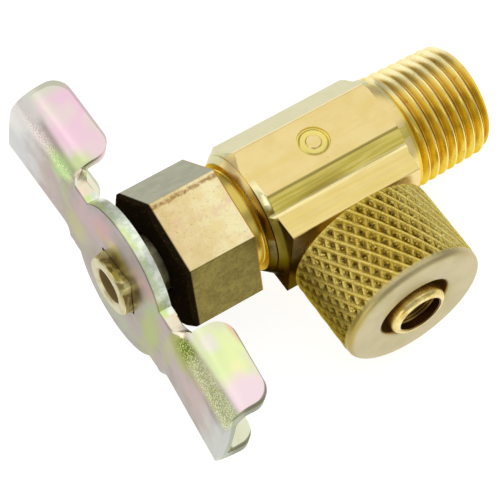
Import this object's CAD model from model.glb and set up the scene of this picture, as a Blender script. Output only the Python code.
"""Looks for a brass needle valve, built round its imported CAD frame.

Shapes are drawn in millimetres about the valve centre, where the stem axis meets the outlet axis.
Distances along the stem run towards the inlet thread, and those along the outlet run towards -Y.
"""
import math

import bmesh
import bpy
from mathutils import Matrix, Vector


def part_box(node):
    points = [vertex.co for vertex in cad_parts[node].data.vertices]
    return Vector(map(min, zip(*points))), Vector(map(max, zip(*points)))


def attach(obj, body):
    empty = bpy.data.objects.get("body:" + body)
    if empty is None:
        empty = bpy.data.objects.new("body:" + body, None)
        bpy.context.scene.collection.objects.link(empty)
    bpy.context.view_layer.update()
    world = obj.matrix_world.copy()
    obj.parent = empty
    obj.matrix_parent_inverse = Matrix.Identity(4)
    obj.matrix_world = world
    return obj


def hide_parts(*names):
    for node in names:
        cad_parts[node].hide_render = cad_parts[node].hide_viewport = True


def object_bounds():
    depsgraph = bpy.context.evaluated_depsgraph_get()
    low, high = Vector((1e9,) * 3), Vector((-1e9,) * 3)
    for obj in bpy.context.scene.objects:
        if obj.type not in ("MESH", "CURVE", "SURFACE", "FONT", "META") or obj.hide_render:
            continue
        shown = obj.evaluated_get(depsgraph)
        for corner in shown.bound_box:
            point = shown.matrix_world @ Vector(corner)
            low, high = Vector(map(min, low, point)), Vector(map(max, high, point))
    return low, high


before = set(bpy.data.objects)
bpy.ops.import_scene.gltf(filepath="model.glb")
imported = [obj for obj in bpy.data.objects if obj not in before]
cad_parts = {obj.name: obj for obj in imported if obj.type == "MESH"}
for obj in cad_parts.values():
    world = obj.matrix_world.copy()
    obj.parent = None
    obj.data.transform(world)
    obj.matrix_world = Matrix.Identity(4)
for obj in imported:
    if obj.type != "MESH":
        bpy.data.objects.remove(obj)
cad_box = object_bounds()

MM = 0.001
TURN = 2 * math.pi

INLET_END = 15.0  # the body's free end, from the valve centre
CENTRE = Vector((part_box("valve_body")[1].x - INLET_END * MM, 0, 0))


def along(node, axis, sign=1):
    """A node's extent along an axis, in millimetres about the valve centre, lowest first."""
    corners = [(c - CENTRE)[axis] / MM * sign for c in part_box(node)]
    return min(corners), max(corners)


# Places read from the frame, in millimetres about the valve centre
BAR_HALF = along("valve_body", 2)[1]  # half width across the bar's flats
NECK_END = along("valve_body", 0)[0]
OUTLET_END = along("valve_body", 1, -1)[1]
NUT_FAR, NUT_NEAR = along("packing_nut", 0)
KNURL_NEAR, KNURL_FAR = along("compression_nut", 1, -1)
KNURL_R = along("compression_nut", 2)[1]
STEM_FAR, NEEDLE_END = along("stem", 0)
SUPPORT_NEAR, SUPPORT_FAR = along("tube_support", 1, -1)

# Bar
FLAT_HALF = 2.45
FOOT_HALF = 4.2
FOOT_REACH = 6.2
BAR_END = 6.5
NECK_START = -7.5
SHOULDER = 6.3  # where the bar keeps its own outline
EDGE = 0.14  # rounding along the bar's edges
MARK_X = -0.2  # middle of the ring mark
PACKING_FLOOR, PACKING_R = -10.5, 3.6

# Threads
INLET_PITCH = 0.94
INLET_TAPER = 1 / 32  # fall in radius along the inlet thread
INLET_START, INLET_R = 7.1, 5.2  # where that thread starts, and its radius there
PITCH_24 = 25.4 / 24
NUT_HALF = 11.03 / 2
NUT_TURN = math.radians(15.7)  # first corner, from +Y towards +Z
NECK_R = 4.9
BOSS_R = 4.15
KNURL_TEETH = 39
KNURL_LEAD = 0.58  # ridges crossed for each millimetre of length
STRONG_PHASE, WEAK_PHASE = 0.022, 0.192  # where the two families of ridges start
KNURL_FLOOR = 13.1  # inner face of the knurled nut's end wall
TUBE_STOP = 9.3  # where the tube bottoms
TUBE_HOLE_R = 3.22  # hole for the tube in the outlet and in the knurled nut
SUPPORT_ROOT_R, SUPPORT_BORE_R = 2.75, 1.9
NUT_SHOULDER = -13.85  # far end of the packing nut's threaded bore

# Handle
HANDLE_FRONT = -18.8  # face of the hub that shows beside the stem's end
HANDLE_TURN = math.radians(8)
SHEET = 1.2
LOBE_R = 5.9
LOBE_SHIFT = 2.1
NECK_HALF = 4.6
HINGE_U = 6.3
WING_NEAR = 8.1
WING_TIP = 16.3
TIP_BOW = 0.35  # how much shorter a wing is at its sides
LOWER_SHORT = 0.2  # how much shorter the lower wing is
WING_HALF = 5.2
FLANGE_DEPTH = 4.5
FOLD_R = 2.4
CORNER_R = 1.6
WING_LEAN = math.radians(3.4)

# Stem's end
SQUARE_HALF = 2.15
SQUARE_SKEW = math.radians(-14)
STAKE_R = 2.8
RIM_R = 2.6
STAKE_HOLE_R = 1.56


# ---------------------------------------------------------------- mesh tools

def stem_place(radius, angle, distance):
    """A point about the stem axis. The angle runs from +Y towards +Z."""
    return distance, radius * math.cos(angle), radius * math.sin(angle)


def outlet_place(radius, angle, distance):
    """A point about the outlet axis. The angle runs from +Z towards -X."""
    return -radius * math.sin(angle), -distance, radius * math.cos(angle)


def solid(name, points, faces):
    """A closed mesh from points in millimetres about the valve centre."""
    mesh = bpy.data.meshes.new(name)
    mesh.from_pydata([CENTRE + Vector(p) * MM for p in points], [], faces)
    made = bpy.data.objects.new(name, mesh)
    bpy.context.scene.collection.objects.link(made)
    work = bmesh.new()
    work.from_mesh(mesh)
    bmesh.ops.remove_doubles(work, verts=work.verts, dist=1e-8)
    bmesh.ops.dissolve_degenerate(work, edges=work.edges, dist=1e-9)
    bmesh.ops.recalc_face_normals(work, faces=work.faces)
    work.to_mesh(mesh)
    work.free()
    return made


def turned(name, outline, place, steps=128, shape=None):
    """Revolves a closed outline of (radius, distance) points. shape(radius, angle, distance)
    may change the radius."""
    points, count = [], len(outline)
    for step in range(steps):
        angle = TURN * step / steps
        for radius, distance in outline:
            if shape:
                radius = shape(radius, angle, distance)
            points.append(place(radius, angle, distance))
    faces = []
    for step in range(steps):
        here, there = step * count, (step + 1) % steps * count
        for k in range(count):
            after = (k + 1) % count
            faces.append((here + k, here + after, there + after, there + k))
    return solid(name, points, faces)


def prism(name, outline, low, high, place):
    """Extrudes a closed outline of 2-D points from low to high."""
    count = len(outline)
    points = [place(a, b, end) for end in (low, high) for a, b in outline]
    faces = [tuple(range(count)), tuple(range(count, 2 * count))]
    faces += [(k, (k + 1) % count, count + (k + 1) % count, count + k) for k in range(count)]
    return solid(name, points, faces)


def rounded(corners, steps=5):
    """A closed outline whose (a, b, radius) corners are turned into arcs."""
    outline = []
    for k, (a, b, radius) in enumerate(corners):
        here = Vector((a, b))
        before = (Vector(corners[k - 1][:2]) - here).normalized()
        after = (Vector(corners[(k + 1) % len(corners)][:2]) - here).normalized()
        half = before.angle(after) / 2
        middle = here + (before + after).normalized() * radius / math.sin(half)
        start = here + before * radius / math.tan(half) - middle
        sweep = math.pi - 2 * half
        sign = 1 if before.x * after.y - before.y * after.x < 0 else -1
        for step in range(steps + 1):
            turn = Matrix.Rotation(sign * sweep * step / steps, 2)
            outline.append(tuple(middle + turn @ start))
    return outline


def combine(target, tools, operation):
    """Applies one boolean operation with each tool in turn, and removes the tools."""
    for tool in tools:
        step = target.modifiers.new(operation, "BOOLEAN")
        step.operation = operation
        step.object = tool
        step.solver = "MANIFOLD"
        settle(target)
        bpy.data.objects.remove(tool)
    return target


def settle(piece):
    """Applies a piece's modifiers to its mesh."""
    depsgraph = bpy.context.evaluated_depsgraph_get()
    mesh = bpy.data.meshes.new_from_object(piece.evaluated_get(depsgraph))
    piece.modifiers.clear()
    piece.data = mesh
    return piece


def soften(piece, width):
    """Rounds a piece's sharp edges, width millimetres deep."""
    bevel = piece.modifiers.new("edges", "BEVEL")
    bevel.width = width * MM
    bevel.segments = 3
    bevel.limit_method = "ANGLE"
    bevel.angle_limit = math.radians(60)
    return settle(piece)


def finish_piece(piece, body, material, nodes, angle=32):
    """Shades a piece smoothly up to an angle, gives it its material and puts it on its body."""
    piece.data.materials.clear()
    piece.data.materials.append(material)
    piece.data.polygons.foreach_set("use_smooth", [True] * len(piece.data.polygons))
    piece.data.set_sharp_from_angle(angle=math.radians(angle))
    weighted = piece.modifiers.new("normals", "WEIGHTED_NORMAL")
    weighted.keep_sharp = True
    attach(piece, body)
    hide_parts(*nodes)
    return piece


# ---------------------------------------------------------------- material tools

def rgb(*shades):
    """Screen shades from 0 to 255 as a linear colour."""
    return tuple(((v / 255 + 0.055) / 1.055) ** 2.4 for v in shades)


class Look:
    """One metal or plastic material. Each method adds a node and returns its output."""

    def __init__(self, name, metallic, roughness):
        self.material = bpy.data.materials.new(name)
        self.material.use_nodes = True
        self.tree = self.material.node_tree
        self.tree.nodes.clear()
        output = self.tree.nodes.new("ShaderNodeOutputMaterial")
        self.shader = self.tree.nodes.new("ShaderNodeBsdfPrincipled")
        self.tree.links.new(self.shader.outputs[0], output.inputs[0])
        self.shader.inputs["Metallic"].default_value = metallic
        self.shader.inputs["Roughness"].default_value = roughness
        self.place = self.add("ShaderNodeTexCoord").outputs["Object"]
        self.about = self.moved(offset=tuple(CENTRE))
        self.x, self.y, self.z = self.axes(self.about)

    def add(self, kind, **settings):
        node = self.tree.nodes.new(kind)
        for key, value in settings.items():
            setattr(node, key, value)
        return node

    def put(self, socket, value):
        """Links a node's output to a socket, or sets the socket's own value."""
        if isinstance(value, bpy.types.NodeSocket):
            self.tree.links.new(value, socket)
        elif isinstance(value, tuple) and len(socket.default_value) == 4:
            socket.default_value = (*value, 1)
        else:
            socket.default_value = value

    def set(self, name, value):
        self.put(self.shader.inputs[name], value)

    def moved(self, offset=(0, 0, 0), turn=(0, 0, 0), scale=(1, 1, 1), vector=None):
        """Coordinates about an offset, turned and scaled, all in metres."""
        shift = self.add("ShaderNodeVectorMath", operation="SUBTRACT")
        self.put(shift.inputs[0], vector or self.place)
        shift.inputs[1].default_value = offset
        node = self.add("ShaderNodeMapping")
        self.put(node.inputs["Vector"], shift.outputs[0])
        node.inputs["Rotation"].default_value = turn
        node.inputs["Scale"].default_value = scale
        return node.outputs[0]

    def noise(self, size, detail=3.0, rough=0.55, vector=None, stretch=(1, 1, 1)):
        """Noise whose features are about size millimetres across."""
        node = self.add("ShaderNodeTexNoise")
        self.put(node.inputs["Vector"], self.moved(scale=stretch, vector=vector))
        node.inputs["Scale"].default_value = 1 / (size * MM)
        node.inputs["Detail"].default_value = detail
        node.inputs["Roughness"].default_value = rough
        return node.outputs["Fac"]

    def cells(self, size, vector=None):
        """Distance from the middle of the nearest cell, of cells about size millimetres across."""
        node = self.add("ShaderNodeTexVoronoi")
        self.put(node.inputs["Vector"], vector or self.place)
        node.inputs["Scale"].default_value = 1 / (size * MM)
        return node.outputs["Distance"]

    def span(self, value, low, high, to_low=0.0, to_high=1.0, kind="SMOOTHSTEP"):
        """Maps a value from one range to another, held at the ends."""
        node = self.add("ShaderNodeMapRange", interpolation_type=kind)
        for socket, given in zip(node.inputs, (value, low, high, to_low, to_high)):
            self.put(socket, given)
        return node.outputs[0]

    def ramp(self, distance, low, high, to_low=0.0, to_high=1.0, kind="SMOOTHSTEP"):
        """The same for a distance, with its range in millimetres."""
        return self.span(distance, low * MM, high * MM, to_low, to_high, kind)

    def math(self, operation, a, b=0.0):
        node = self.add("ShaderNodeMath", operation=operation)
        self.put(node.inputs[0], a)
        self.put(node.inputs[1], b)
        return node.outputs[0]

    def plus(self, a, b):
        return self.math("ADD", a, b)

    def minus(self, a, b):
        return self.math("SUBTRACT", a, b)

    def times(self, first, *others):
        """The product of two or more values, which for masks is where they all hold."""
        product = first
        for other in others:
            product = self.math("MULTIPLY", product, other)
        return product

    def axes(self, vector):
        node = self.add("ShaderNodeSeparateXYZ")
        self.put(node.inputs[0], vector)
        return tuple(node.outputs)

    def from_stem(self):
        """Distance from the stem's axis."""
        return self.length(self.moved(offset=tuple(CENTRE), scale=(0, 1, 1)))

    def from_outlet(self):
        """Distance from the outlet's axis."""
        return self.length(self.moved(offset=tuple(CENTRE), scale=(1, 0, 1)))

    def along_outlet(self):
        return self.times(self.y, -1.0)

    def length(self, vector):
        node = self.add("ShaderNodeVectorMath", operation="LENGTH")
        self.put(node.inputs[0], vector)
        return node.outputs["Value"]

    def mix(self, share, a, b):
        """From a at a share of 0 to b at a share of 1."""
        node = self.add("ShaderNodeMix", data_type="RGBA")
        self.put(node.inputs[0], share)
        self.put(node.inputs[6], a)
        self.put(node.inputs[7], b)
        return node.outputs[2]

    def laid(self, colour, shade, *masks):
        """A shade laid over a colour where every mask holds. A number among them thins it."""
        return self.mix(self.times(*masks), colour, shade)

    def bump(self, height, depth, strength=1.0, normal=None):
        """A bump whose height of 1 stands for depth millimetres."""
        node = self.add("ShaderNodeBump")
        node.inputs["Strength"].default_value = strength
        node.inputs["Distance"].default_value = depth * MM
        self.put(node.inputs["Height"], height)
        if normal:
            self.put(node.inputs["Normal"], normal)
        return node.outputs[0]

    def patch(self, vector, middle, size, soft=0.5, wobble=0.3):
        """A soft blob about middle, in millimetres along vector's axes: 1 inside and 0 outside."""
        shift = self.add("ShaderNodeVectorMath", operation="SUBTRACT")
        self.put(shift.inputs[0], vector)
        shift.inputs[1].default_value = [m * MM for m in middle]
        scaled = self.add("ShaderNodeVectorMath", operation="MULTIPLY")
        self.put(scaled.inputs[0], shift.outputs[0])
        scaled.inputs[1].default_value = [1 / (s * MM) for s in size]
        reach = self.length(scaled.outputs[0])
        waver = self.span(self.noise(2.2, vector=vector), 0.3, 0.7, -wobble, wobble, "LINEAR")
        return self.span(self.plus(reach, waver), 1 - soft, 1 + soft, 1.0, 0.0)


# ---------------------------------------------------------------- materials

def make_bar_brass():
    """Drawn brass bar: soft mottling, faint lines along the stem and a few dull spots. Its rear
    slope is paler, its front slope is more olive, and the faced end by the nut is stained."""
    look = Look("bar_brass", 1.0, 0.3)
    x, y, z = look.x, look.y, look.z
    drawn = look.noise(0.16, 3, 0.6, stretch=(0.03, 1, 1))
    bands = look.noise(0.7, 2, 0.5, stretch=(0.06, 1, 1))
    mottle = look.noise(2.2, 4, 0.6)
    spots = look.span(look.noise(0.55, 5, 0.7), 0.62, 0.74)
    colour = look.mix(look.span(mottle, 0.3, 0.7), rgb(234, 209, 140), rgb(245, 222, 156))
    colour = look.laid(colour, rgb(236, 208, 120), look.span(bands, 0.4, 0.7, 0.0, 0.4))
    # the slopes beside the top flat, and the line above the front one
    rear = look.times(look.ramp(y, 2.5, 2.9), look.ramp(z, 1.5, 2.5))
    colour = look.laid(colour, rgb(198, 196, 150), rear, 0.85)
    slope = look.times(look.ramp(y, -2.3, -2.55), look.ramp(z, 4.15, 4.3))
    streak = look.noise(0.28, 3, 0.6, stretch=(0.04, 1, 1))
    olive = look.mix(look.span(streak, 0.4, 0.62), rgb(216, 200, 86), rgb(248, 228, 122))
    colour = look.laid(colour, olive, slope, 0.9)
    line = look.times(look.ramp(z, BAR_HALF - 0.16, BAR_HALF - 0.1), look.ramp(y, -2.32, -2.4))
    colour = look.laid(colour, rgb(150, 136, 70), line, 0.7)
    # the turned end: stained face, brown cone, groove and bright shoulder
    end = look.ramp(x, -SHOULDER + 0.02, -SHOULDER + 0.08, 1.0, 0.0)
    colour = look.laid(colour, rgb(54, 40, 12), end, look.ramp(y, -2.2, -3.6),
                       look.span(mottle, 0.2, 0.6, 0.96, 0.7))
    cone = look.times(look.ramp(x, -7.43, -7.39), look.ramp(x, -6.92, -6.98),
                      look.ramp(y, -0.2, -1.8), look.ramp(z, 2.3, 2.6))
    brown = look.mix(look.ramp(y, -1.8, -3.2), rgb(186, 146, 58), rgb(112, 76, 14))
    colour = look.laid(colour, brown, cone)
    groove = look.times(look.ramp(x, -7.0, -6.97), look.ramp(x, -6.88, -6.91))
    colour = look.laid(colour, rgb(104, 78, 22), groove, look.ramp(y, -0.5, -1.5, 0.0, 0.8))
    facet = look.mix(look.ramp(z, 4.95, 4.5), rgb(252, 244, 186), rgb(134, 116, 44))
    colour = look.laid(colour, facet, look.ramp(x, -6.9, -6.86), look.ramp(x, -6.3, -6.36),
                       look.ramp(y, -0.3, -1.2))
    # the stamped mark is yellower than the flat round it
    mark = look.length(look.moved(offset=(CENTRE.x + MARK_X * MM, 0, 0), scale=(1, 1, 0)))
    colour = look.laid(colour, rgb(240, 224, 122), look.ramp(mark, 0.66, 0.74),
                       look.ramp(mark, 1.42, 1.36), look.ramp(z, BAR_HALF - 0.5, BAR_HALF - 0.4), 0.8)
    # the foot: a bright lip along its top, and a dull front corner near the nut
    colour = look.laid(colour, rgb(255, 240, 176), look.ramp(z, FOOT_HALF - 0.06, FOOT_HALF - 0.02),
                       look.ramp(y, -4.0, -3.8), look.ramp(y, -3.45, -3.6), look.span(streak, 0.35, 0.5))
    corner = look.times(look.ramp(z, -0.5, -2), look.ramp(y, -1.6, -3))
    under = look.times(look.ramp(x, -2.5, -5.5), look.ramp(z, 2.6, -0.5),
                       look.math("MAXIMUM", look.ramp(y, -3, -4.5), corner))
    colour = look.laid(colour, rgb(96, 84, 28), under, 0.9)
    colour = look.laid(colour, rgb(176, 146, 76), spots, 0.3)
    dull = look.math("MAXIMUM", look.times(end, look.ramp(y, -2.4, -3.4)), under)
    look.set("Specular Tint", look.mix(dull, (1, 1, 1), rgb(104, 96, 68)))
    look.set("Base Color", colour)
    look.set("Roughness", look.span(mottle, 0.3, 0.7, 0.24, 0.34, "LINEAR"))
    fine = look.bump(drawn, 0.004, 0.5)
    look.set("Normal", look.bump(look.noise(0.9, 3, 0.6), 0.012, 0.5, fine))
    return look.material


def make_tarnished_brass():
    """Packing nut: a tan, speckled front flat, olive tarnish on the flats beside it, and a far
    end that has gone nearly black."""
    look = Look("tarnished_brass", 1.0, 0.34)
    mottle = look.noise(1.4, 5, 0.65)
    fine = look.noise(0.26, 4, 0.72)
    freckle = look.span(fine, 0.55, 0.68)

    def on_flat(turn):
        reach = look.plus(look.times(look.y, math.cos(turn)), look.times(look.z, math.sin(turn)))
        return look.ramp(reach, NUT_HALF - 0.09, NUT_HALF - 0.03)

    rear = look.mix(look.span(mottle, 0.3, 0.7), rgb(134, 136, 108), rgb(168, 166, 138))
    along_nut = look.ramp(look.x, NUT_FAR + 1, NUT_NEAR - 1)
    front = look.mix(look.span(mottle, 0.35, 0.65),
                     look.mix(along_nut, rgb(228, 204, 144), rgb(246, 226, 166)),
                     look.mix(along_nut, rgb(244, 222, 168), rgb(255, 244, 194)))
    blush = look.span(look.noise(1.9, 3, 0.6), 0.52, 0.66, 0.0, 0.6)
    front = look.laid(front, rgb(240, 206, 164), blush)
    front = look.laid(front, rgb(190, 158, 92), freckle, 0.45)
    low = look.mix(look.span(mottle, 0.3, 0.7), rgb(122, 108, 52), rgb(148, 134, 68))
    low = look.laid(low, rgb(88, 78, 38), look.span(fine, 0.46, 0.66), 0.5)
    colour = look.mix(on_flat(NUT_TURN + math.pi / 6), rgb(200, 178, 116), rear)
    colour = look.laid(colour, front, on_flat(NUT_TURN + math.pi / 2))
    colour = look.laid(colour, low, on_flat(NUT_TURN + math.pi * 5 / 6))
    colour = look.laid(colour, low, on_flat(NUT_TURN + math.pi * 7 / 6))
    # a brown scratch along the front flat's upper edge
    across = look.plus(look.times(look.y, math.sin(NUT_TURN + math.pi / 2)),
                       look.times(look.z, -math.cos(NUT_TURN + math.pi / 2)))
    waver = look.plus(across, look.times(look.noise(1.2, 3, 0.6), 0.5 * MM))
    scratch = look.times(look.ramp(waver, 2.75, 2.95), look.ramp(waver, 3.05, 3.3, 1.0, 0.0),
                         on_flat(NUT_TURN + math.pi / 2))
    colour = look.laid(colour, rgb(158, 112, 52), scratch, look.span(fine, 0.35, 0.55, 0.2, 0.8))
    # the far end isn't metallic, so that it stays dark at every angle
    end = look.ramp(look.x, NUT_FAR + 0.5, NUT_FAR + 0.68, 1.0, 0.0)
    black = look.mix(look.span(fine, 0.55, 0.75, 0.0, 0.6), rgb(34, 26, 14), rgb(104, 84, 48))
    colour = look.laid(colour, black, end)
    near = look.ramp(look.x, NUT_NEAR - 0.12, NUT_NEAR - 0.05)
    colour = look.laid(colour, rgb(176, 128, 52), near)
    look.set("Metallic", look.minus(1.0, end))
    look.set("Specular IOR Level", 0.0)
    look.set("Base Color", colour)
    look.set("Roughness", look.span(mottle, 0.3, 0.7, 0.30, 0.42, "LINEAR"))
    grain = look.bump(fine, 0.014, 0.7)
    look.set("Normal", look.bump(look.noise(1.2, 3, 0.6), 0.03, 0.5, grain))
    return look.material


def make_thread_brass():
    """Cut threads: clean and golden, with a little brown left beside the crests."""
    look = Look("thread_brass", 1.0, 0.26)
    mottle = look.noise(1.6, 4, 0.6)
    ringed = look.noise(0.12, 2, 0.5, stretch=(1, 0.05, 0.05))
    colour = look.mix(look.span(mottle, 0.3, 0.7), rgb(232, 202, 78), rgb(242, 216, 100))
    rear = look.times(look.ramp(look.y, -2.6, 3.0, kind="LINEAR"), look.ramp(look.x, 0, 1))
    colour = look.laid(colour, rgb(250, 242, 196), rear, 0.95)
    stain = look.span(look.noise(0.8, 4, 0.65, stretch=(0.6, 1, 1)), 0.58, 0.7)
    colour = look.laid(colour, rgb(196, 138, 60), stain, 0.45)
    # browner roots and paler crests on the inlet thread. Its taper is taken out of the radius
    level = look.plus(look.from_stem(), look.times(look.x, INLET_TAPER))
    inlet = look.ramp(look.x, 8, 8.6)
    root = look.times(look.ramp(level, 5.22, 4.96), inlet)
    colour = look.laid(colour, rgb(198, 150, 40), root, 0.4)
    crest = look.times(look.ramp(level, 5.34, 5.39), inlet)
    colour = look.laid(colour, rgb(255, 244, 178), crest, 0.7)
    on_neck = look.ramp(look.x, -7.3, -7.4)
    colour = look.laid(colour, rgb(216, 192, 100), on_neck, 0.85)
    look.set("Base Color", colour)
    look.set("Specular Tint", rgb(236, 214, 150))
    look.set("Roughness", look.span(ringed, 0.3, 0.7, 0.2, 0.32, "LINEAR"))
    look.set("Normal", look.bump(ringed, 0.006, 0.4))
    return look.material


def make_knurled_brass():
    """Pressed knurl: bright ridges over pits that have kept some dirt, and a turned end face."""
    look = Look("knurled_brass", 1.0, 0.26)
    reach = look.from_outlet()
    depth = look.along_outlet()
    on_knurl = look.times(look.ramp(reach, KNURL_R - 0.7, KNURL_R - 0.5),
                          look.ramp(depth, KNURL_FAR - 1.0, KNURL_FAR - 0.62, 1.0, 0.0))
    pit = look.ramp(reach, KNURL_R - 0.3, KNURL_R - 0.06, 1.0, 0.0)
    mottle = look.noise(0.8, 4, 0.6)
    grit = look.noise(0.13, 3, 0.65)
    beads = look.span(look.cells(0.25), 0.3, 0.62)
    # thin lines along the deeper family of ridges
    angle = look.math("ARCTAN2", look.times(look.x, -1.0), look.z)
    phase = look.plus(look.times(angle, KNURL_TEETH / TURN), look.times(depth, KNURL_LEAD / MM))
    phase = look.math("FRACT", look.plus(phase, 100.5 - STRONG_PHASE))
    ridge = look.times(look.math("ABSOLUTE", look.minus(phase, 0.5)), 2.0)
    across = look.x
    gold = look.mix(look.ramp(across, -5, -2), rgb(244, 220, 116), rgb(216, 186, 70))
    gold = look.laid(gold, rgb(246, 230, 138), look.ramp(across, 0, 5))
    gold = look.laid(gold, rgb(204, 172, 62), look.span(mottle, 0.35, 0.65, 0.0, 0.4))
    dirt = look.times(pit, look.math("MAXIMUM", look.span(grit, 0.42, 0.54, 0.9, 0.0), beads))
    dirt = look.times(dirt, look.ramp(across, 1, 5, 1.0, 0.5))
    gold = look.laid(gold, rgb(92, 68, 10), dirt)
    gold = look.laid(gold, rgb(250, 230, 140), look.span(ridge, 0.22, 0.1, 0.0, 0.7),
                     look.span(grit, 0.38, 0.54))
    gold = look.laid(gold, rgb(108, 82, 14), look.span(ridge, 0.24, 0.34),
                     look.span(ridge, 0.6, 0.4, 0.0, 0.4))
    gold = look.laid(gold, rgb(255, 246, 170), look.span(grit, 0.57, 0.66, 0.0, 0.6))
    gold = look.laid(gold, rgb(80, 62, 4), look.ramp(across, -5.2, -7.0, 0.0, 0.9))
    face = look.mix(look.span(look.noise(1.8, 4, 0.6), 0.3, 0.7), rgb(190, 178, 134), rgb(200, 188, 146))
    rim = look.ramp(look.plus(across, look.times(look.z, 0.8)), -5, 2, 0.8, 0.2)
    edge = look.ramp(reach, KNURL_R - 0.5, KNURL_R - 0.15)
    face = look.laid(face, rgb(174, 150, 56), rim, edge)
    face = look.laid(face, rgb(176, 144, 74), look.ramp(reach, 3.34, 3.28),
                     look.ramp(depth, KNURL_FLOOR - 0.1, KNURL_FLOOR + 0.1))
    look.set("Base Color", look.mix(on_knurl, face, gold))
    look.set("Specular Tint", look.mix(on_knurl, (1, 1, 1), rgb(236, 214, 126)))
    look.set("Roughness", look.span(on_knurl, 0, 1, 0.38, 0.2))
    rings = look.noise(0.1, 2, 0.5, vector=look.about, stretch=(0.4, 1, 0.4))
    fine = look.bump(rings, 0.006, 0.4)
    look.set("Normal", look.bump(look.times(grit, on_knurl), 0.08, 0.9, fine))
    return look.material


def ring_side(look, colour):
    """The staked ring's side is yellower than its face, and its bore is dark."""
    reach = look.from_stem()
    side = look.times(look.ramp(look.x, -19.78, -19.7), look.ramp(reach, 1.75, 1.85),
                      look.ramp(look.x, HANDLE_FRONT + 0.1, HANDLE_FRONT))
    facets = look.mix(look.span(look.noise(0.9, 2, 0.5), 0.42, 0.56), rgb(236, 228, 160),
                      rgb(168, 152, 92))
    colour = look.laid(colour, facets, side)
    bore = look.ramp(reach, STAKE_HOLE_R + 0.06, STAKE_HOLE_R + 0.02)
    look.set("Metallic", look.span(bore, 0, 1, 1.0, 0.2))
    return look.mix(bore, colour, rgb(160, 138, 88))


def dark_bore(look, colour):
    """The tube support's bore is brown, and browner further in."""
    reach = look.from_outlet()
    depth = look.along_outlet()
    inside = look.ramp(reach, 2.04, 2.0)
    brown = look.mix(look.ramp(depth, SUPPORT_FAR - 2.4, SUPPORT_FAR - 0.6), rgb(72, 44, 26),
                     rgb(170, 138, 70))
    brown = look.laid(brown, rgb(84, 58, 24), look.ramp(look.x, -0.6, 0.8), 0.8)
    return look.mix(inside, colour, brown)


def make_turned_brass(name, light, dark, roughness, shade=None):
    """Turned brass pieces. shade may change the colour further."""
    look = Look(name, 1.0, roughness)
    mottle = look.noise(1.0, 5, 0.65)
    colour = look.mix(look.span(mottle, 0.35, 0.65), dark, light)
    stain = look.span(look.noise(0.6, 4, 0.7), 0.6, 0.75)
    colour = look.laid(colour, rgb(148, 124, 70), stain, 0.5)
    if shade:
        colour = shade(look, colour)
    look.set("Base Color", colour)
    look.set("Roughness", look.span(mottle, 0.3, 0.7, roughness - 0.06, roughness + 0.08, "LINEAR"))
    look.set("Normal", look.bump(look.noise(0.14, 3, 0.6), 0.012, 0.5))
    return look.material


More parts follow.
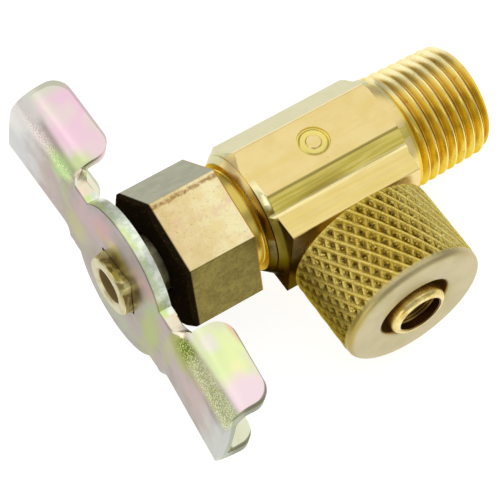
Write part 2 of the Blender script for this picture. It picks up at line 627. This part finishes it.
def make_chromate():
    """Zinc plate with an iridescent chromate film: mauve-grey webs crossed by olive bands, pink
    and lime flanges, and a coarse glittering grain where the sheet is folded."""
    look = Look("chromate", 1.0, 0.32)
    local = look.moved(offset=(CENTRE.x + HANDLE_FRONT * MM, 0, 0), turn=(-HANDLE_TURN, 0, 0))
    depth, u, w = look.axes(local)
    out, across = look.math("ABSOLUTE", u), look.math("ABSOLUTE", w)
    cloud = look.noise(2.6, 4, 0.6, vector=local)

    def patches(colour, on_web, spots):
        """Lays soft patches over a colour, from (a, b, reach in a, reach in b, shade, share). On
        a web a and b are u and w, and on a flange they are depth and u."""
        through = 9
        for a, b, wide, high, shade, share in spots:
            middle = (0, a, b) if on_web else (a, b, WING_HALF)
            size = (through, wide, high) if on_web else (wide, high, through)
            spot = look.patch(local, middle, size, 0.6, 0.42)
            colour = look.laid(colour, rgb(*shade), spot, share)
        return colour

    web = look.mix(look.span(cloud, 0.35, 0.65), rgb(150, 138, 130), rgb(168, 154, 147))
    web = patches(web, True, (
        (-12.6, 1.0, 3.4, 2.6, (184, 160, 154), 0.9),
        (-15.9, 0.0, 2.1, 7.0, (190, 194, 186), 0.9),
        (-8.6, 3.4, 1.9, 1.5, (160, 164, 84), 0.9),
        (-7.4, 1.6, 0.8, 2.6, (170, 170, 108), 0.9),
        (-6.1, 3.4, 0.9, 1.6, (168, 146, 150), 0.8),
        (-4.9, -0.6, 1.2, 4.6, (162, 170, 92), 1.0),
        (-4.4, 3.9, 0.9, 1.7, (152, 168, 110), 0.8),
        (0.4, -5.6, 3.0, 1.8, (166, 172, 138), 0.8),
        (6.4, -1.4, 1.7, 2.2, (172, 168, 112), 0.9),
        (5.2, 2.6, 2.2, 2.2, (178, 150, 150), 0.9),
        (8.3, 2.2, 0.7, 2.4, (160, 168, 118), 0.8),
        (9.6, 4.0, 1.0, 1.5, (172, 204, 130), 0.9),
        (11.8, 0.0, 2.6, 3.6, (178, 160, 150), 0.8),
        (15.6, 0.6, 3.0, 7.0, (196, 196, 194), 0.95),
        (16.3, 3.4, 2.6, 2.6, (216, 212, 206), 0.9),
        (2.6, 4.7, 1.2, 1.3, (184, 142, 144), 0.9),
        (-3.2, 5.3, 1.4, 1.3, (180, 146, 140), 0.8),
        (0.7, 3.7, 1.3, 1.0, (186, 174, 96), 0.9),
        (3.3, 3.2, 0.7, 1.2, (190, 150, 118), 0.7),
        (-2.2, 2.9, 0.9, 1.3, (116, 90, 54), 0.9),
        (0.5, -1.0, 3.2, 3.4, (150, 138, 92), 0.5)))
    flange = look.mix(look.span(cloud, 0.35, 0.65), rgb(226, 226, 204), rgb(240, 228, 220))
    flange = patches(flange, False, (
        (2.2, 10.9, 2.2, 3.3, (246, 208, 224), 0.9),
        (3.2, 13.8, 1.3, 2.2, (244, 204, 224), 0.85),
        (2.4, 12.9, 1.0, 0.9, (238, 226, 214), 0.6),
        (1.2, 8.6, 1.3, 1.2, (206, 226, 150), 0.8),
        (3.6, 15.8, 2.6, 0.9, (216, 226, 196), 0.7),
        (2.6, -11.6, 1.9, 2.6, (240, 254, 178), 0.9),
        (1.2, -10.6, 1.2, 2.0, (228, 240, 182), 0.7),
        (1.9, -9.7, 0.6, 0.7, (246, 234, 232), 0.7),
        (2.7, -12.6, 0.5, 0.8, (252, 250, 190), 0.8),
        (2.3, -14.7, 1.9, 1.5, (252, 226, 236), 0.9),
        (4.4, -9.2, 0.5, 1.6, (240, 192, 168), 0.85)))
    flange = look.laid(flange, rgb(242, 244, 216), look.ramp(w, -2, -3))
    colour = look.mix(look.ramp(depth, 0.5, 1.1), web, flange)
    # folds: pinkish white on the upper wing, lime and olive on the lower one
    lower = look.ramp(u, -6, -8)
    fold_end = look.times(look.span(lower, 0, 1, 0.45, 0.7, "LINEAR"), MM)
    bend = look.times(look.ramp(across, 3.2, 4.0), look.ramp(out, 7.4, 8.6),
                      look.ramp(u, 15, 12.5, 0.3, 1.0),
                      look.ramp(look.minus(depth, fold_end), -0.25, 0.25, 1.0, 0.0))
    grain = look.cells(0.14, vector=local)
    sparkle = look.span(grain, 0.2, 0.55)
    pale = look.mix(sparkle, rgb(255, 244, 240), rgb(222, 204, 198))
    green = look.mix(sparkle, rgb(236, 246, 204), rgb(190, 214, 144))
    pale = look.laid(pale, green, look.patch(local, (0.3, 9.6, 4.0), (3, 1.6, 1.6), 0.5))
    lime = look.mix(sparkle, rgb(236, 238, 190), rgb(178, 184, 130))
    lime = look.laid(lime, look.mix(sparkle, rgb(214, 226, 140), rgb(104, 120, 44)),
                     look.patch(local, (0.4, -8.7, 4.2), (3, 1.3, 2.0), 0.5))
    colour = look.laid(colour, look.mix(lower, pale, lime), bend, 0.8)
    # cut edges: cream necks, a silver and lime hub edge, dark and grey-green wing ends
    edge = look.noise(0.5, 3, 0.6, vector=local)
    neck_edge = look.times(look.ramp(across, NECK_HALF - 0.3, NECK_HALF - 0.08),
                           look.ramp(out, 8.3, 8.0))
    cream = look.mix(look.span(edge, 0.4, 0.6), rgb(238, 236, 206), rgb(246, 224, 200))
    silver = look.mix(look.span(edge, 0.4, 0.6), rgb(222, 234, 212), rgb(250, 253, 240))
    silver = look.laid(silver, rgb(214, 236, 146), look.ramp(depth, 0.4, 0.8, 1.0, 0.0),
                       look.span(cloud, 0.4, 0.6, 0.25, 0.85))
    cuts = look.mix(look.ramp(out, 5.9, 6.1), silver, cream)
    colour = look.laid(colour, cuts, neck_edge, look.ramp(depth, 0.06, 0.16))
    bowed = look.times(w, w, TIP_BOW / (WING_HALF ** 2 * MM))
    from_tip = look.minus((WING_TIP - LOWER_SHORT) * MM, look.plus(out, bowed))
    tip = look.times(look.ramp(from_tip, 0.16, 0.04), look.ramp(depth, 0.06, 0.2))
    colour = look.laid(colour, rgb(150, 160, 126), tip, look.times(lower, 0.8))
    # a thin dark line round each flange, at its rounded corners too
    depth = look.plus(depth, look.times(look.minus(out, HINGE_U * MM), math.tan(WING_LEAN)))
    sides = look.math("MINIMUM", look.minus(out, WING_NEAR * MM),
                      look.minus((WING_TIP - TIP_BOW - LOWER_SHORT) * MM, out))
    past = [look.math("MAXIMUM", look.minus(CORNER_R * MM, gap), 0.0)
            for gap in (sides, look.minus((FLANGE_DEPTH - 0.07) * MM, depth))]
    round_r = look.math("SQRT", look.plus(look.times(past[0], past[0]), look.times(past[1], past[1])))
    rim = look.times(look.ramp(round_r, CORNER_R - 0.16, CORNER_R - 0.05), look.ramp(depth, 1.2, 2.2))
    colour = look.laid(colour, rgb(112, 112, 82), rim, look.span(lower, 0, 1, 0.3, 0.85))
    look.set("Base Color", colour)
    look.set("Roughness", look.span(bend, 0, 1, 0.34, 0.2))
    plain = look.bump(look.noise(0.45, 3, 0.6, vector=local), 0.008, 0.5)
    look.set("Normal", look.bump(look.times(grain, bend), 0.02, 1.0, plain))
    return look.material


def make_plain(name, roughness, dark, light, cloud, grain, depth, strength, stretch=(1, 1, 1)):
    """Rubber and plastic, clouded from dark to light. cloud and grain are noise settings."""
    look = Look(name, 0.0, roughness)
    look.set("Base Color", look.mix(look.noise(*cloud, stretch=stretch), dark, light))
    look.set("Normal", look.bump(look.noise(*grain, stretch=stretch), depth, strength))
    return look.material


# ---------------------------------------------------------------- pieces

def bar_section():
    """The bar's outline in Y and Z, with the foot on the outlet side."""
    step_y = FLAT_HALF + BAR_HALF - FOOT_HALF
    upper = [(BAR_HALF, FLAT_HALF, EDGE), (FLAT_HALF, BAR_HALF, EDGE), (-FLAT_HALF, BAR_HALF, EDGE),
             (-step_y, FOOT_HALF, 0.25), (-FOOT_REACH, FOOT_HALF, EDGE)]
    lower = [(y, -z, radius) for y, z, radius in reversed(upper)]
    return rounded(upper + lower)


def clamped(value):
    return min(max(value, 0), 1)


def quarter(steps=8):
    """Cosine and sine at even steps over a quarter turn, without its start."""
    turns = [math.pi / 2 * k / steps for k in range(1, steps + 1)]
    return [(math.cos(turn), math.sin(turn)) for turn in turns]


def ring_mark():
    """A tool that stamps the plain round mark in the bar's top flat."""
    outline = [(0, 0.3), (0, -0.06), (0.3, -0.03), (0.6, -0.03), (0.7, -0.15), (0.84, -0.15),
               (1.12, -0.11), (1.28, -0.22), (1.38, -0.2), (1.41, 0.0), (1.44, 0.3)]
    return turned("ring_mark", outline,
                  lambda r, a, s: (r * math.cos(a) + MARK_X, r * math.sin(a), BAR_HALF + s), 64)


# a thread's section: share of the pitch, and depth from 0 at the crest to 1 at the root
V_THREAD = [(0.03, 1.0), (0.45, 0.03), (0.5, 0.0), (0.55, 0.03), (0.97, 1.0)]


def thread(name, pitch, start, turns, place, radius_at, length, steps=144):
    """A rod whose surface is a right-handed thread. radius_at(depth, distance) gives its radius.
    The ends of the sweep are ragged, so it is cut to the length outline."""
    rows, total = len(V_THREAD), len(V_THREAD) * turns
    points = []
    for step in range(steps):
        for q in range(total):
            share, depth = V_THREAD[q % rows]
            distance = start + pitch * (q // rows + share + step / steps)
            points.append(place(radius_at(depth, distance), TURN * step / steps, distance))

    def index(step, q):
        return q + rows if step == steps else step * total + q

    faces = []
    for step in range(steps):
        last = total - 1 - (rows if step == steps - 1 else 0)
        for q in range(last):
            faces.append((index(step, q), index(step + 1, q),
                          index(step + 1, q + 1), index(step, q + 1)))
    low = [index(s, 0) for s in range(steps)] + [index(0, q) for q in range(rows, 0, -1)]
    high = [index(s, total - 1) for s in range(steps)]
    high += [index(steps - 1, q) for q in range(total - 2, total - 2 - rows, -1)]
    for loop, distance in ((low, start), (high, start + pitch * turns)):
        points.append(place(0, 0, distance))
        faces += [(len(points) - 1, loop[k], loop[(k + 1) % len(loop)]) for k in range(len(loop))]
    return combine(solid(name, points, faces), [turned("length", length, place)], "INTERSECT")


def inlet_thread():
    def radius_at(depth, distance):
        crest = INLET_R - (distance - INLET_START) * INLET_TAPER
        fade = clamped(distance - 7.0)
        return crest - 0.56 * depth * fade - 0.12 * (1 - fade)

    return thread("inlet_thread", INLET_PITCH, 5.6, 12, stem_place, radius_at, [
        (0, 6.9), (5.6, 6.9), (5.6, 13.9), (5.1, 14.35), (4.45, INLET_END), (0, INLET_END)])


def neck_thread():
    def radius_at(depth, _):
        return NECK_R - 0.58 * depth

    return thread("neck_thread", PITCH_24, -14.8, 8, stem_place, radius_at, [
        (0, NECK_END), (4.3, NECK_END), (5.2, NECK_END + 0.7), (5.2, -8.9), (4.3, -8.4),
        (4.3, -7.6), (4.5, -7.3), (0, -7.3)])


def boss_thread():
    def radius_at(depth, _):
        return BOSS_R - 0.5 * depth

    return thread("boss_thread", PITCH_24, 4.0, 8, outlet_place, radius_at, [
        (0, 5.5), (5, 5.5), (5, OUTLET_END - 0.5), (3.7, OUTLET_END), (0, OUTLET_END)])


def make_body(bar_look, thread_look):
    bar = prism("valve_body_detail", bar_section(), NECK_START, BAR_END, lambda a, b, end: (end, a, b))
    turning = turned("turning", [
        (0, NECK_START), (4.9, NECK_START), (4.99, -7.44), (5.34, -6.98), (5.33, -6.92),
        (5.41, -6.9), (5.75, -6.42), (5.95, -SHOULDER), (8.0, -SHOULDER),
        (8.0, 6.1), (6.1, 6.28), (5.7, BAR_END), (0, BAR_END)], stem_place, 160)
    combine(bar, [turning], "INTERSECT")
    collar = turned("collar", [(0, 6.0), (5.34, 6.0), (5.34, 6.7), (5.28, 7.3), (5.2, 7.62),
                               (4.9, 7.85), (0, 7.85)], stem_place, 160)
    combine(bar, [collar, inlet_thread(), neck_thread(), boss_thread()], "UNION")
    stem_bore = turned("stem_bore", [
        (0, NECK_END - 1), (PACKING_R, NECK_END - 1), (PACKING_R, PACKING_FLOOR),
        (2.8, PACKING_FLOOR), (2.8, -5.5), (2.25, -5.5), (2.25, 2), (1.2, 2), (1.2, 5.4),
        (2.95, 6.4), (2.95, 14.7), (3.3, INLET_END + 0.2), (0, INLET_END + 0.2)], stem_place, 96)
    outlet_bore = turned("outlet_bore", [
        (0, 0), (SUPPORT_BORE_R, 0), (SUPPORT_BORE_R, SUPPORT_NEAR), (SUPPORT_ROOT_R, SUPPORT_NEAR),
        (SUPPORT_ROOT_R, TUBE_STOP), (TUBE_HOLE_R, TUBE_STOP), (TUBE_HOLE_R, OUTLET_END - 0.25),
        (3.6, OUTLET_END + 0.13), (0, OUTLET_END + 0.13)], outlet_place, 96)
    combine(bar, [stem_bore, outlet_bore, ring_mark()], "DIFFERENCE")
    middles = [(p.center - CENTRE) / MM for p in bar.data.polygons]
    threads = [m.x > 7.05 or m.x < NECK_START + 0.02 or m.y < -FOOT_REACH - 0.02 for m in middles]
    finish_piece(bar, "body", bar_look, ["valve_body"])
    bar.data.materials.append(thread_look)
    bar.data.polygons.foreach_set("material_index", [int(t) for t in threads])
    return bar


def make_packing_nut(look):
    corner = NUT_HALF / math.cos(math.pi / 6)
    turns = [NUT_TURN + k * math.pi / 3 for k in range(6)]
    outline = rounded([(corner * math.cos(a), corner * math.sin(a), 0.12) for a in turns])
    nut = prism("packing_nut_detail", outline, NUT_FAR, NUT_NEAR, lambda a, b, end: (end, a, b))
    shape = turned("shape", [(0, NUT_FAR), (NUT_HALF + 0.25, NUT_FAR),
                             (NUT_HALF + 1, NUT_FAR + 0.42), (NUT_HALF + 1, NUT_NEAR - 0.06),
                             (NUT_HALF + 0.8, NUT_NEAR), (0, NUT_NEAR)], stem_place, 160)
    combine(nut, [shape], "INTERSECT")
    bore = turned("bore", [(0, NUT_FAR - 1), (2.75, NUT_FAR - 1), (2.75, NUT_FAR), (2.6, NUT_FAR + 0.15),
                           (2.6, NUT_SHOULDER), (4.95, NUT_SHOULDER), (4.95, NUT_NEAR - 0.2),
                           (5.2, NUT_NEAR + 0.05), (5.2, NUT_NEAR + 1), (0, NUT_NEAR + 1)], stem_place)
    combine(nut, [bore], "DIFFERENCE")
    return finish_piece(nut, "hex_nut", look, ["packing_nut"])


def make_compression_nut(look):
    depth, rows = 0.36, 62
    start, stop = KNURL_NEAR + 0.14, KNURL_FAR - 0.72

    def ridge(phase):
        """0 along a ridge, whose top is flat, and 1 midway between two."""
        flat = 0.06
        near = abs((phase + 0.5) % 1 - 0.5) * 2
        return max(near - flat, 0) / (1 - flat)

    def shape(radius, angle, distance):
        if radius < KNURL_R - 0.001:
            return radius
        around = KNURL_TEETH * angle / TURN
        strong = ridge(around + KNURL_LEAD * distance - STRONG_PHASE)
        weak = ridge(around - KNURL_LEAD * distance - WEAK_PHASE) * 0.76 + 0.24
        fade = clamped(min(distance - start, stop - distance) / 0.28)
        return KNURL_R - depth * min(strong, weak) * fade - 0.05 * (1 - fade)

    outer = [(KNURL_R - 0.4, KNURL_NEAR), (KNURL_R - 0.12, KNURL_NEAR + 0.08)]
    outer += [(KNURL_R, start + (stop - start) * k / rows) for k in range(rows + 1)]
    rim = 0.62
    outer += [(KNURL_R - 0.06 - rim * (1 - cos), KNURL_FAR - rim * (1 - sin) * 0.9)
              for cos, sin in quarter()]
    outer += [(3.62, KNURL_FAR), (3.5, KNURL_FAR - 0.03), (3.26, KNURL_FAR - 0.24),
              (TUBE_HOLE_R, KNURL_FAR - 0.4), (TUBE_HOLE_R, KNURL_FLOOR), (3.9, KNURL_FLOOR),
              (3.9, 11.2), (4.2, 11.2), (4.2, KNURL_NEAR + 0.2), (4.4, KNURL_NEAR)]
    nut = turned("compression_nut_detail", outer, outlet_place, KNURL_TEETH * 16, shape)
    return finish_piece(nut, "tube_nut", look, ["compression_nut"], 40)


def make_tube_support(look):
    bore, outer, lip = SUPPORT_BORE_R, 2.55, 0.5
    outline = [(outer, TUBE_STOP), (outer, SUPPORT_FAR - lip)]
    outline += [(outer - lip + lip * cos, SUPPORT_FAR - lip + lip * sin) for cos, sin in quarter()]
    outline += [(1.96, SUPPORT_FAR - 0.02), (bore, SUPPORT_FAR - 0.1)]
    # tool marks in the bore
    depth, pitch, cut = SUPPORT_FAR - 0.7, 0.26, 0.09
    while depth > SUPPORT_FAR - 5:
        outline += [(bore, depth), (bore + cut, depth - 0.11), (bore, depth - 0.24)]
        depth -= pitch
    outline += [(bore, SUPPORT_NEAR), (SUPPORT_ROOT_R, SUPPORT_NEAR), (SUPPORT_ROOT_R, TUBE_STOP)]
    support = turned("tube_support_detail", outline, outlet_place, 96)
    return finish_piece(support, "body", look, ["tube_support"])


def make_sleeve(look):
    outline = [(3.25, 10.3), (3.36, 10.3), (3.8, 11.2), (3.8, 12.9), (3.68, 13.05), (3.25, 13.05),
               (3.21, 12.9), (3.21, 10.45)]
    sleeve = turned("compression_sleeve_detail", outline, outlet_place, 96)
    return finish_piece(sleeve, "sleeve", look, ["compression_sleeve"])


def make_stem(look):
    back = HANDLE_FRONT + SHEET
    stem = turned("stem_detail", [
        (0, NEEDLE_END), (0.3, NEEDLE_END), (0.42, NEEDLE_END - 0.1), (2.15, -0.5), (2.15, -2.0),
        (1.34, -2.0), (1.34, -3.0), (2.15, -3.0), (2.15, -5.6), (2.75, -5.8), (2.75, -7.9),
        (2.5, -8.1), (2.5, -16.25), (2.56, -16.4), (2.86, -16.44), (2.9, -16.55), (2.9, back),
        (0, back)], stem_place, 96)

    def square(radius, angle, distance):
        """The square drive, which is staked into a round rim at its end."""
        if radius < STAKE_R - 0.3:
            return radius
        spread = clamped((HANDLE_FRONT - 0.1 - distance) / 0.8)
        # angle from the middle of the nearest flat
        skewed = (angle - HANDLE_TURN - SQUARE_SKEW + math.pi / 4) % (math.pi / 2) - math.pi / 4
        square_r = min(STAKE_R, SQUARE_HALF / math.cos(skewed))
        return square_r + (RIM_R - square_r) * spread - (STAKE_R - radius)

    head = turned("head", [
        (0, back + 0.3), (STAKE_R, back + 0.3), (STAKE_R, HANDLE_FRONT - 0.1), (STAKE_R, -19.1),
        (STAKE_R, -19.3), (STAKE_R, -19.5), (STAKE_R, -19.68), (STAKE_R - 0.07, -19.8),
        (STAKE_R - 0.2, STEM_FAR), (0, STEM_FAR)], stem_place, 144, square)
    combine(stem, [head], "UNION")
    hole = turned("hole", [
        (0, STEM_FAR - 1), (STAKE_HOLE_R + 0.2, STEM_FAR - 1), (STAKE_HOLE_R + 0.2, STEM_FAR),
        (STAKE_HOLE_R, STEM_FAR + 0.22), (STAKE_HOLE_R, -14.2), (0, -13.4)], stem_place, 64)
    combine(stem, [hole], "DIFFERENCE")
    return finish_piece(stem, "spindle", look, ["stem"])


def handle_place(depth, u, w):
    """A point of the handle: depth behind its front, u along the wings and w across them."""
    cos, sin = math.cos(HANDLE_TURN), math.sin(HANDLE_TURN)
    return HANDLE_FRONT + depth, u * cos - w * sin, u * sin + w * cos


def leaned(depth, u, w, side):
    """A point of a wing, which leans away from the valve beyond the hinge line. The wing on the
    outlet side leans a little more, as it does in the photograph."""
    reach = u * side - HINGE_U
    lean = WING_LEAN - math.radians(0.5) * side
    cos, sin = math.cos(lean), math.sin(lean)
    return handle_place(depth * cos - reach * sin, (HINGE_U + depth * sin + reach * cos) * side, w)


def hub_outline():
    """Outline of the hub's two lobes and the necks beside them, in u and w."""
    corner = math.atan2(NECK_HALF, HINGE_U)
    angles = [TURN * k / 240 for k in range(240)]
    angles += [(side * corner + half) % TURN for side in (1, -1) for half in (0, math.pi)]
    outline = []
    for angle in sorted(set(angles)):
        cos, sin = math.cos(angle), math.sin(angle)
        lobe = LOBE_SHIFT * abs(sin) + math.sqrt(LOBE_R ** 2 - (LOBE_SHIFT * cos) ** 2)
        block = min(HINGE_U / max(abs(cos), 1e-9), NECK_HALF / max(abs(sin), 1e-9))
        reach = max(lobe, block)
        outline.append((reach * cos, reach * sin))
    return outline


def wing_stations():
    """Points across a wing's folded section, from one free edge to the other: outer point,
    outward normal and distance from the free edge, in (depth, w)."""
    half = []
    for k in range(9):
        edge = CORNER_R * (1 - math.cos(math.pi / 2 * k / 8))
        half.append(((FLANGE_DEPTH - edge, WING_HALF), (0, 1), edge))
    for k in range(11):
        turn = math.pi / 2 * k / 10
        half.append(((FOLD_R - FOLD_R * math.sin(turn), WING_HALF - FOLD_R + FOLD_R * math.cos(turn)),
                     (-math.sin(turn), math.cos(turn)), CORNER_R))
    web = [((0, (WING_HALF - FOLD_R) * k / 3), (-1, 0), CORNER_R) for k in (2, 1, 0)]
    mirrored = [((d, -w), (nd, -nw), edge) for (d, w), (nd, nw), edge in reversed(half + web[:2])]
    return half + web + mirrored


def wing(side):
    """One wing as a folded sheet with rounded rims. The lower wing's flanges are shallower."""
    stations, rows = wing_stations(), 26
    grid = []
    for layer in (0, SHEET):
        for (depth, w), (nd, nw), edge in stations:
            if depth > FOLD_R:
                share = 1 if side > 0 else 0.97 if w > 0 else 0.87
                depth = FOLD_R + (depth - FOLD_R) * share
            inset = CORNER_R - math.sqrt(max(CORNER_R ** 2 - (CORNER_R - edge) ** 2, 0))
            tip = WING_TIP - TIP_BOW * (abs(w) / WING_HALF) ** 2 - inset
            tip -= LOWER_SHORT if side < 0 else 0
            for row in range(rows + 1):
                u = WING_NEAR + inset + (tip - WING_NEAR - inset) * row / rows
                grid.append(leaned(depth - nd * layer, u * side, w - nw * layer, side))
    return soften(sheet_solid(f"wing_{side}", grid, len(stations), rows), 0.16)


def neck(side):
    """The sheet between the hub and a wing, which rises into the wing's folds."""
    columns, rows, rise_start = 33, 14, 6.9
    low, high = HINGE_U - 0.4, WING_NEAR + 0.5
    grid = []
    for layer in (0, SHEET):
        for column in range(columns):
            for row in range(rows + 1):
                u = low + (high - low) * row / rows
                rise = clamped((u - rise_start) / (WING_NEAR - rise_start))
                rise = rise * rise * (3 - 2 * rise)
                w = (NECK_HALF + 0.35 * rise ** 2) * (2 * column / (columns - 1) - 1)
                over = max(abs(w) - WING_HALF + FOLD_R, 0)
                turn = math.asin(over / FOLD_R) * rise
                depth = (FOLD_R - math.sqrt(FOLD_R ** 2 - over ** 2)) * rise
                grid.append(leaned(depth + math.cos(turn) * layer, u * side,
                                   w - math.copysign(math.sin(turn), w) * layer, side))
    return soften(sheet_solid(f"neck_{side}", grid, columns, rows), 0.14)


def sheet_solid(name, grid, columns, rows):
    """A closed sheet from two layers of grid points, each columns by rows + 1."""
    count, faces = (rows + 1) * columns, []
    for i in range(columns - 1):
        for j in range(rows):
            a, b = i * (rows + 1) + j, (i + 1) * (rows + 1) + j
            faces.append((a, b, b + 1, a + 1))
            faces.append((count + a, count + a + 1, count + b + 1, count + b))
    rim = [i * (rows + 1) for i in range(columns)]
    rim += [(columns - 1) * (rows + 1) + j for j in range(1, rows + 1)]
    rim += [i * (rows + 1) + rows for i in range(columns - 2, -1, -1)]
    rim += [j for j in range(rows - 1, 0, -1)]
    for k, a in enumerate(rim):
        b = rim[(k + 1) % len(rim)]
        faces.append((a, b, count + b, count + a))
    return solid(name, grid, faces)


def make_handle(look):
    plate = prism("handle_detail", hub_outline(), 0, SHEET, lambda u, w, end: handle_place(end, u, w))
    soften(plate, 0.14)
    combine(plate, [part(side) for side in (1, -1) for part in (neck, wing)], "UNION")
    hole = SQUARE_HALF + 0.06
    square = rounded([(hole, hole, 0.15), (-hole, hole, 0.15), (-hole, -hole, 0.15),
                      (hole, -hole, 0.15)])
    cos, sin = math.cos(SQUARE_SKEW), math.sin(SQUARE_SKEW)
    cutter = prism("square_hole", [(a * cos - b * sin, a * sin + b * cos) for a, b in square],
                   -1, SHEET + 1, lambda u, w, end: handle_place(end, u, w))
    combine(plate, [cutter], "DIFFERENCE")
    return finish_piece(plate, "spindle", look, ["handle"])


def dress(node, look):
    """Gives a CAD node that keeps its own shape a better material."""
    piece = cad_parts[node]
    piece.data.materials.clear()
    piece.data.materials.append(look)


# ---------------------------------------------------------------- camera, floor and light

def direction(azimuth, elevation):
    """Towards a place round the valve, in degrees. Azimuth 0 is at -Y and 90 is at +X."""
    azimuth, elevation = math.radians(azimuth), math.radians(elevation)
    level = math.cos(elevation)
    return Vector((math.sin(azimuth) * level, -math.cos(azimuth) * level, math.sin(elevation)))


def make_camera():
    """The photograph's long-lens view, from above and to the left of the outlet."""
    roll = math.radians(4.372)
    distance, aim = 191.61 * MM, CENTRE + Vector((-7.05, -1.65, -3.33)) * MM
    back = direction(-37.308, 59.190)
    level = Vector((0, 0, 1)).cross(back).normalized()
    right = math.cos(roll) * level + math.sin(roll) * back.cross(level)
    up = back.cross(right)
    data = bpy.data.cameras.new("camera")
    data.sensor_width, data.lens = 36, 166.7
    data.clip_start, data.clip_end = 0.01, 10
    camera = bpy.data.objects.new("camera", data)
    camera.matrix_world = Matrix((right, up, back)).transposed().to_4x4()
    camera.matrix_world.translation = aim + back * distance
    bpy.context.scene.collection.objects.link(camera)
    bpy.context.scene.camera = camera


def softbox(name, azimuth, elevation, width, height, radiance):
    """A rectangular light that faces the valve, with its size in metres."""
    out, distance = direction(azimuth, elevation), 0.9
    data = bpy.data.lights.new(name, "AREA")
    data.shape, data.size, data.size_y = "RECTANGLE", width, height
    data.energy = radiance * math.pi * width * height
    light = bpy.data.objects.new(name, data)
    light.location = CENTRE + out * distance
    light.rotation_mode = "QUATERNION"
    light.rotation_quaternion = (-out).to_track_quat("-Z", "Y")
    bpy.context.scene.collection.objects.link(light)


def make_floor():
    """A plain white floor that glows like a light table, so that shadows on it stay faint."""
    half, low = 3.0, cad_box[0].z
    mesh = bpy.data.meshes.new("floor")
    mesh.from_pydata([(-half, -half, low), (half, -half, low), (half, half, low), (-half, half, low)],
                     [], [(0, 1, 2, 3)])
    floor = bpy.data.objects.new("floor", mesh)
    bpy.context.scene.collection.objects.link(floor)
    look = Look("floor_white", 0.0, 0.9)
    look.set("Base Color", (0.35, 0.35, 0.35))
    look.set("Emission Color", (1, 1, 1))
    look.set("Emission Strength", 0.86)
    floor.data.materials.append(look.material)


def make_light():
    world = bpy.data.worlds.new("studio")
    bpy.context.scene.world = world
    world.use_nodes = True
    world.node_tree.nodes["Background"].inputs["Color"].default_value = (0.45, 0.45, 0.45, 1)
    softbox("overhead", 117, 68, 1.1, 1.1, 0.55)
    softbox("front_panel", 20, 25, 0.6, 0.4, 0.3)
    softbox("left_panel", -72, 8, 0.55, 0.5, 1.2)
    softbox("rear_panel", -115, 22, 0.6, 0.6, 0.5)
    softbox("high_panel", -120, 58, 0.85, 0.7, 0.5)
    bpy.context.scene.view_settings.view_transform = "Standard"


bar_brass = make_bar_brass()
thread_brass = make_thread_brass()
tarnished = make_tarnished_brass()
knurled = make_knurled_brass()
stem_brass = make_turned_brass("stem_brass", rgb(208, 202, 166), rgb(188, 176, 126), 0.34, ring_side)
support_brass = make_turned_brass("support_brass", rgb(244, 228, 160), rgb(214, 186, 106), 0.24,
                                  dark_bore)
inner_brass = make_turned_brass("inner_brass", rgb(226, 200, 132), rgb(200, 172, 96), 0.26)

make_body(bar_brass, thread_brass)
make_packing_nut(tarnished)
make_compression_nut(knurled)
make_tube_support(support_brass)
make_sleeve(make_plain("sleeve_plastic", 0.4, (0.58, 0.54, 0.42), (0.70, 0.66, 0.53),
                       (0.9, 3, 0.5), (0.2, 3, 0.6), 0.008, 0.5))
make_stem(stem_brass)
make_handle(make_chromate())
dress("stem_o_ring", make_plain("o_ring_rubber", 0.55, (0.012, 0.012, 0.012), (0.04, 0.04, 0.04),
                                (0.2, 4, 0.6), (0.2, 4, 0.6), 0.01, 0.5))
white_packing = make_plain("packing_white", 0.45, (0.70, 0.69, 0.64), (0.86, 0.85, 0.81),
                           (0.25, 4, 0.6), (0.25, 4, 0.6), 0.015, 0.6, (1, 0.2, 0.2))
dress("packing_ring_inner", white_packing)
dress("packing_ring_outer", white_packing)
dress("packing_washer", inner_brass)
dress("packing_gland", inner_brass)

make_floor()
make_light()
make_camera()
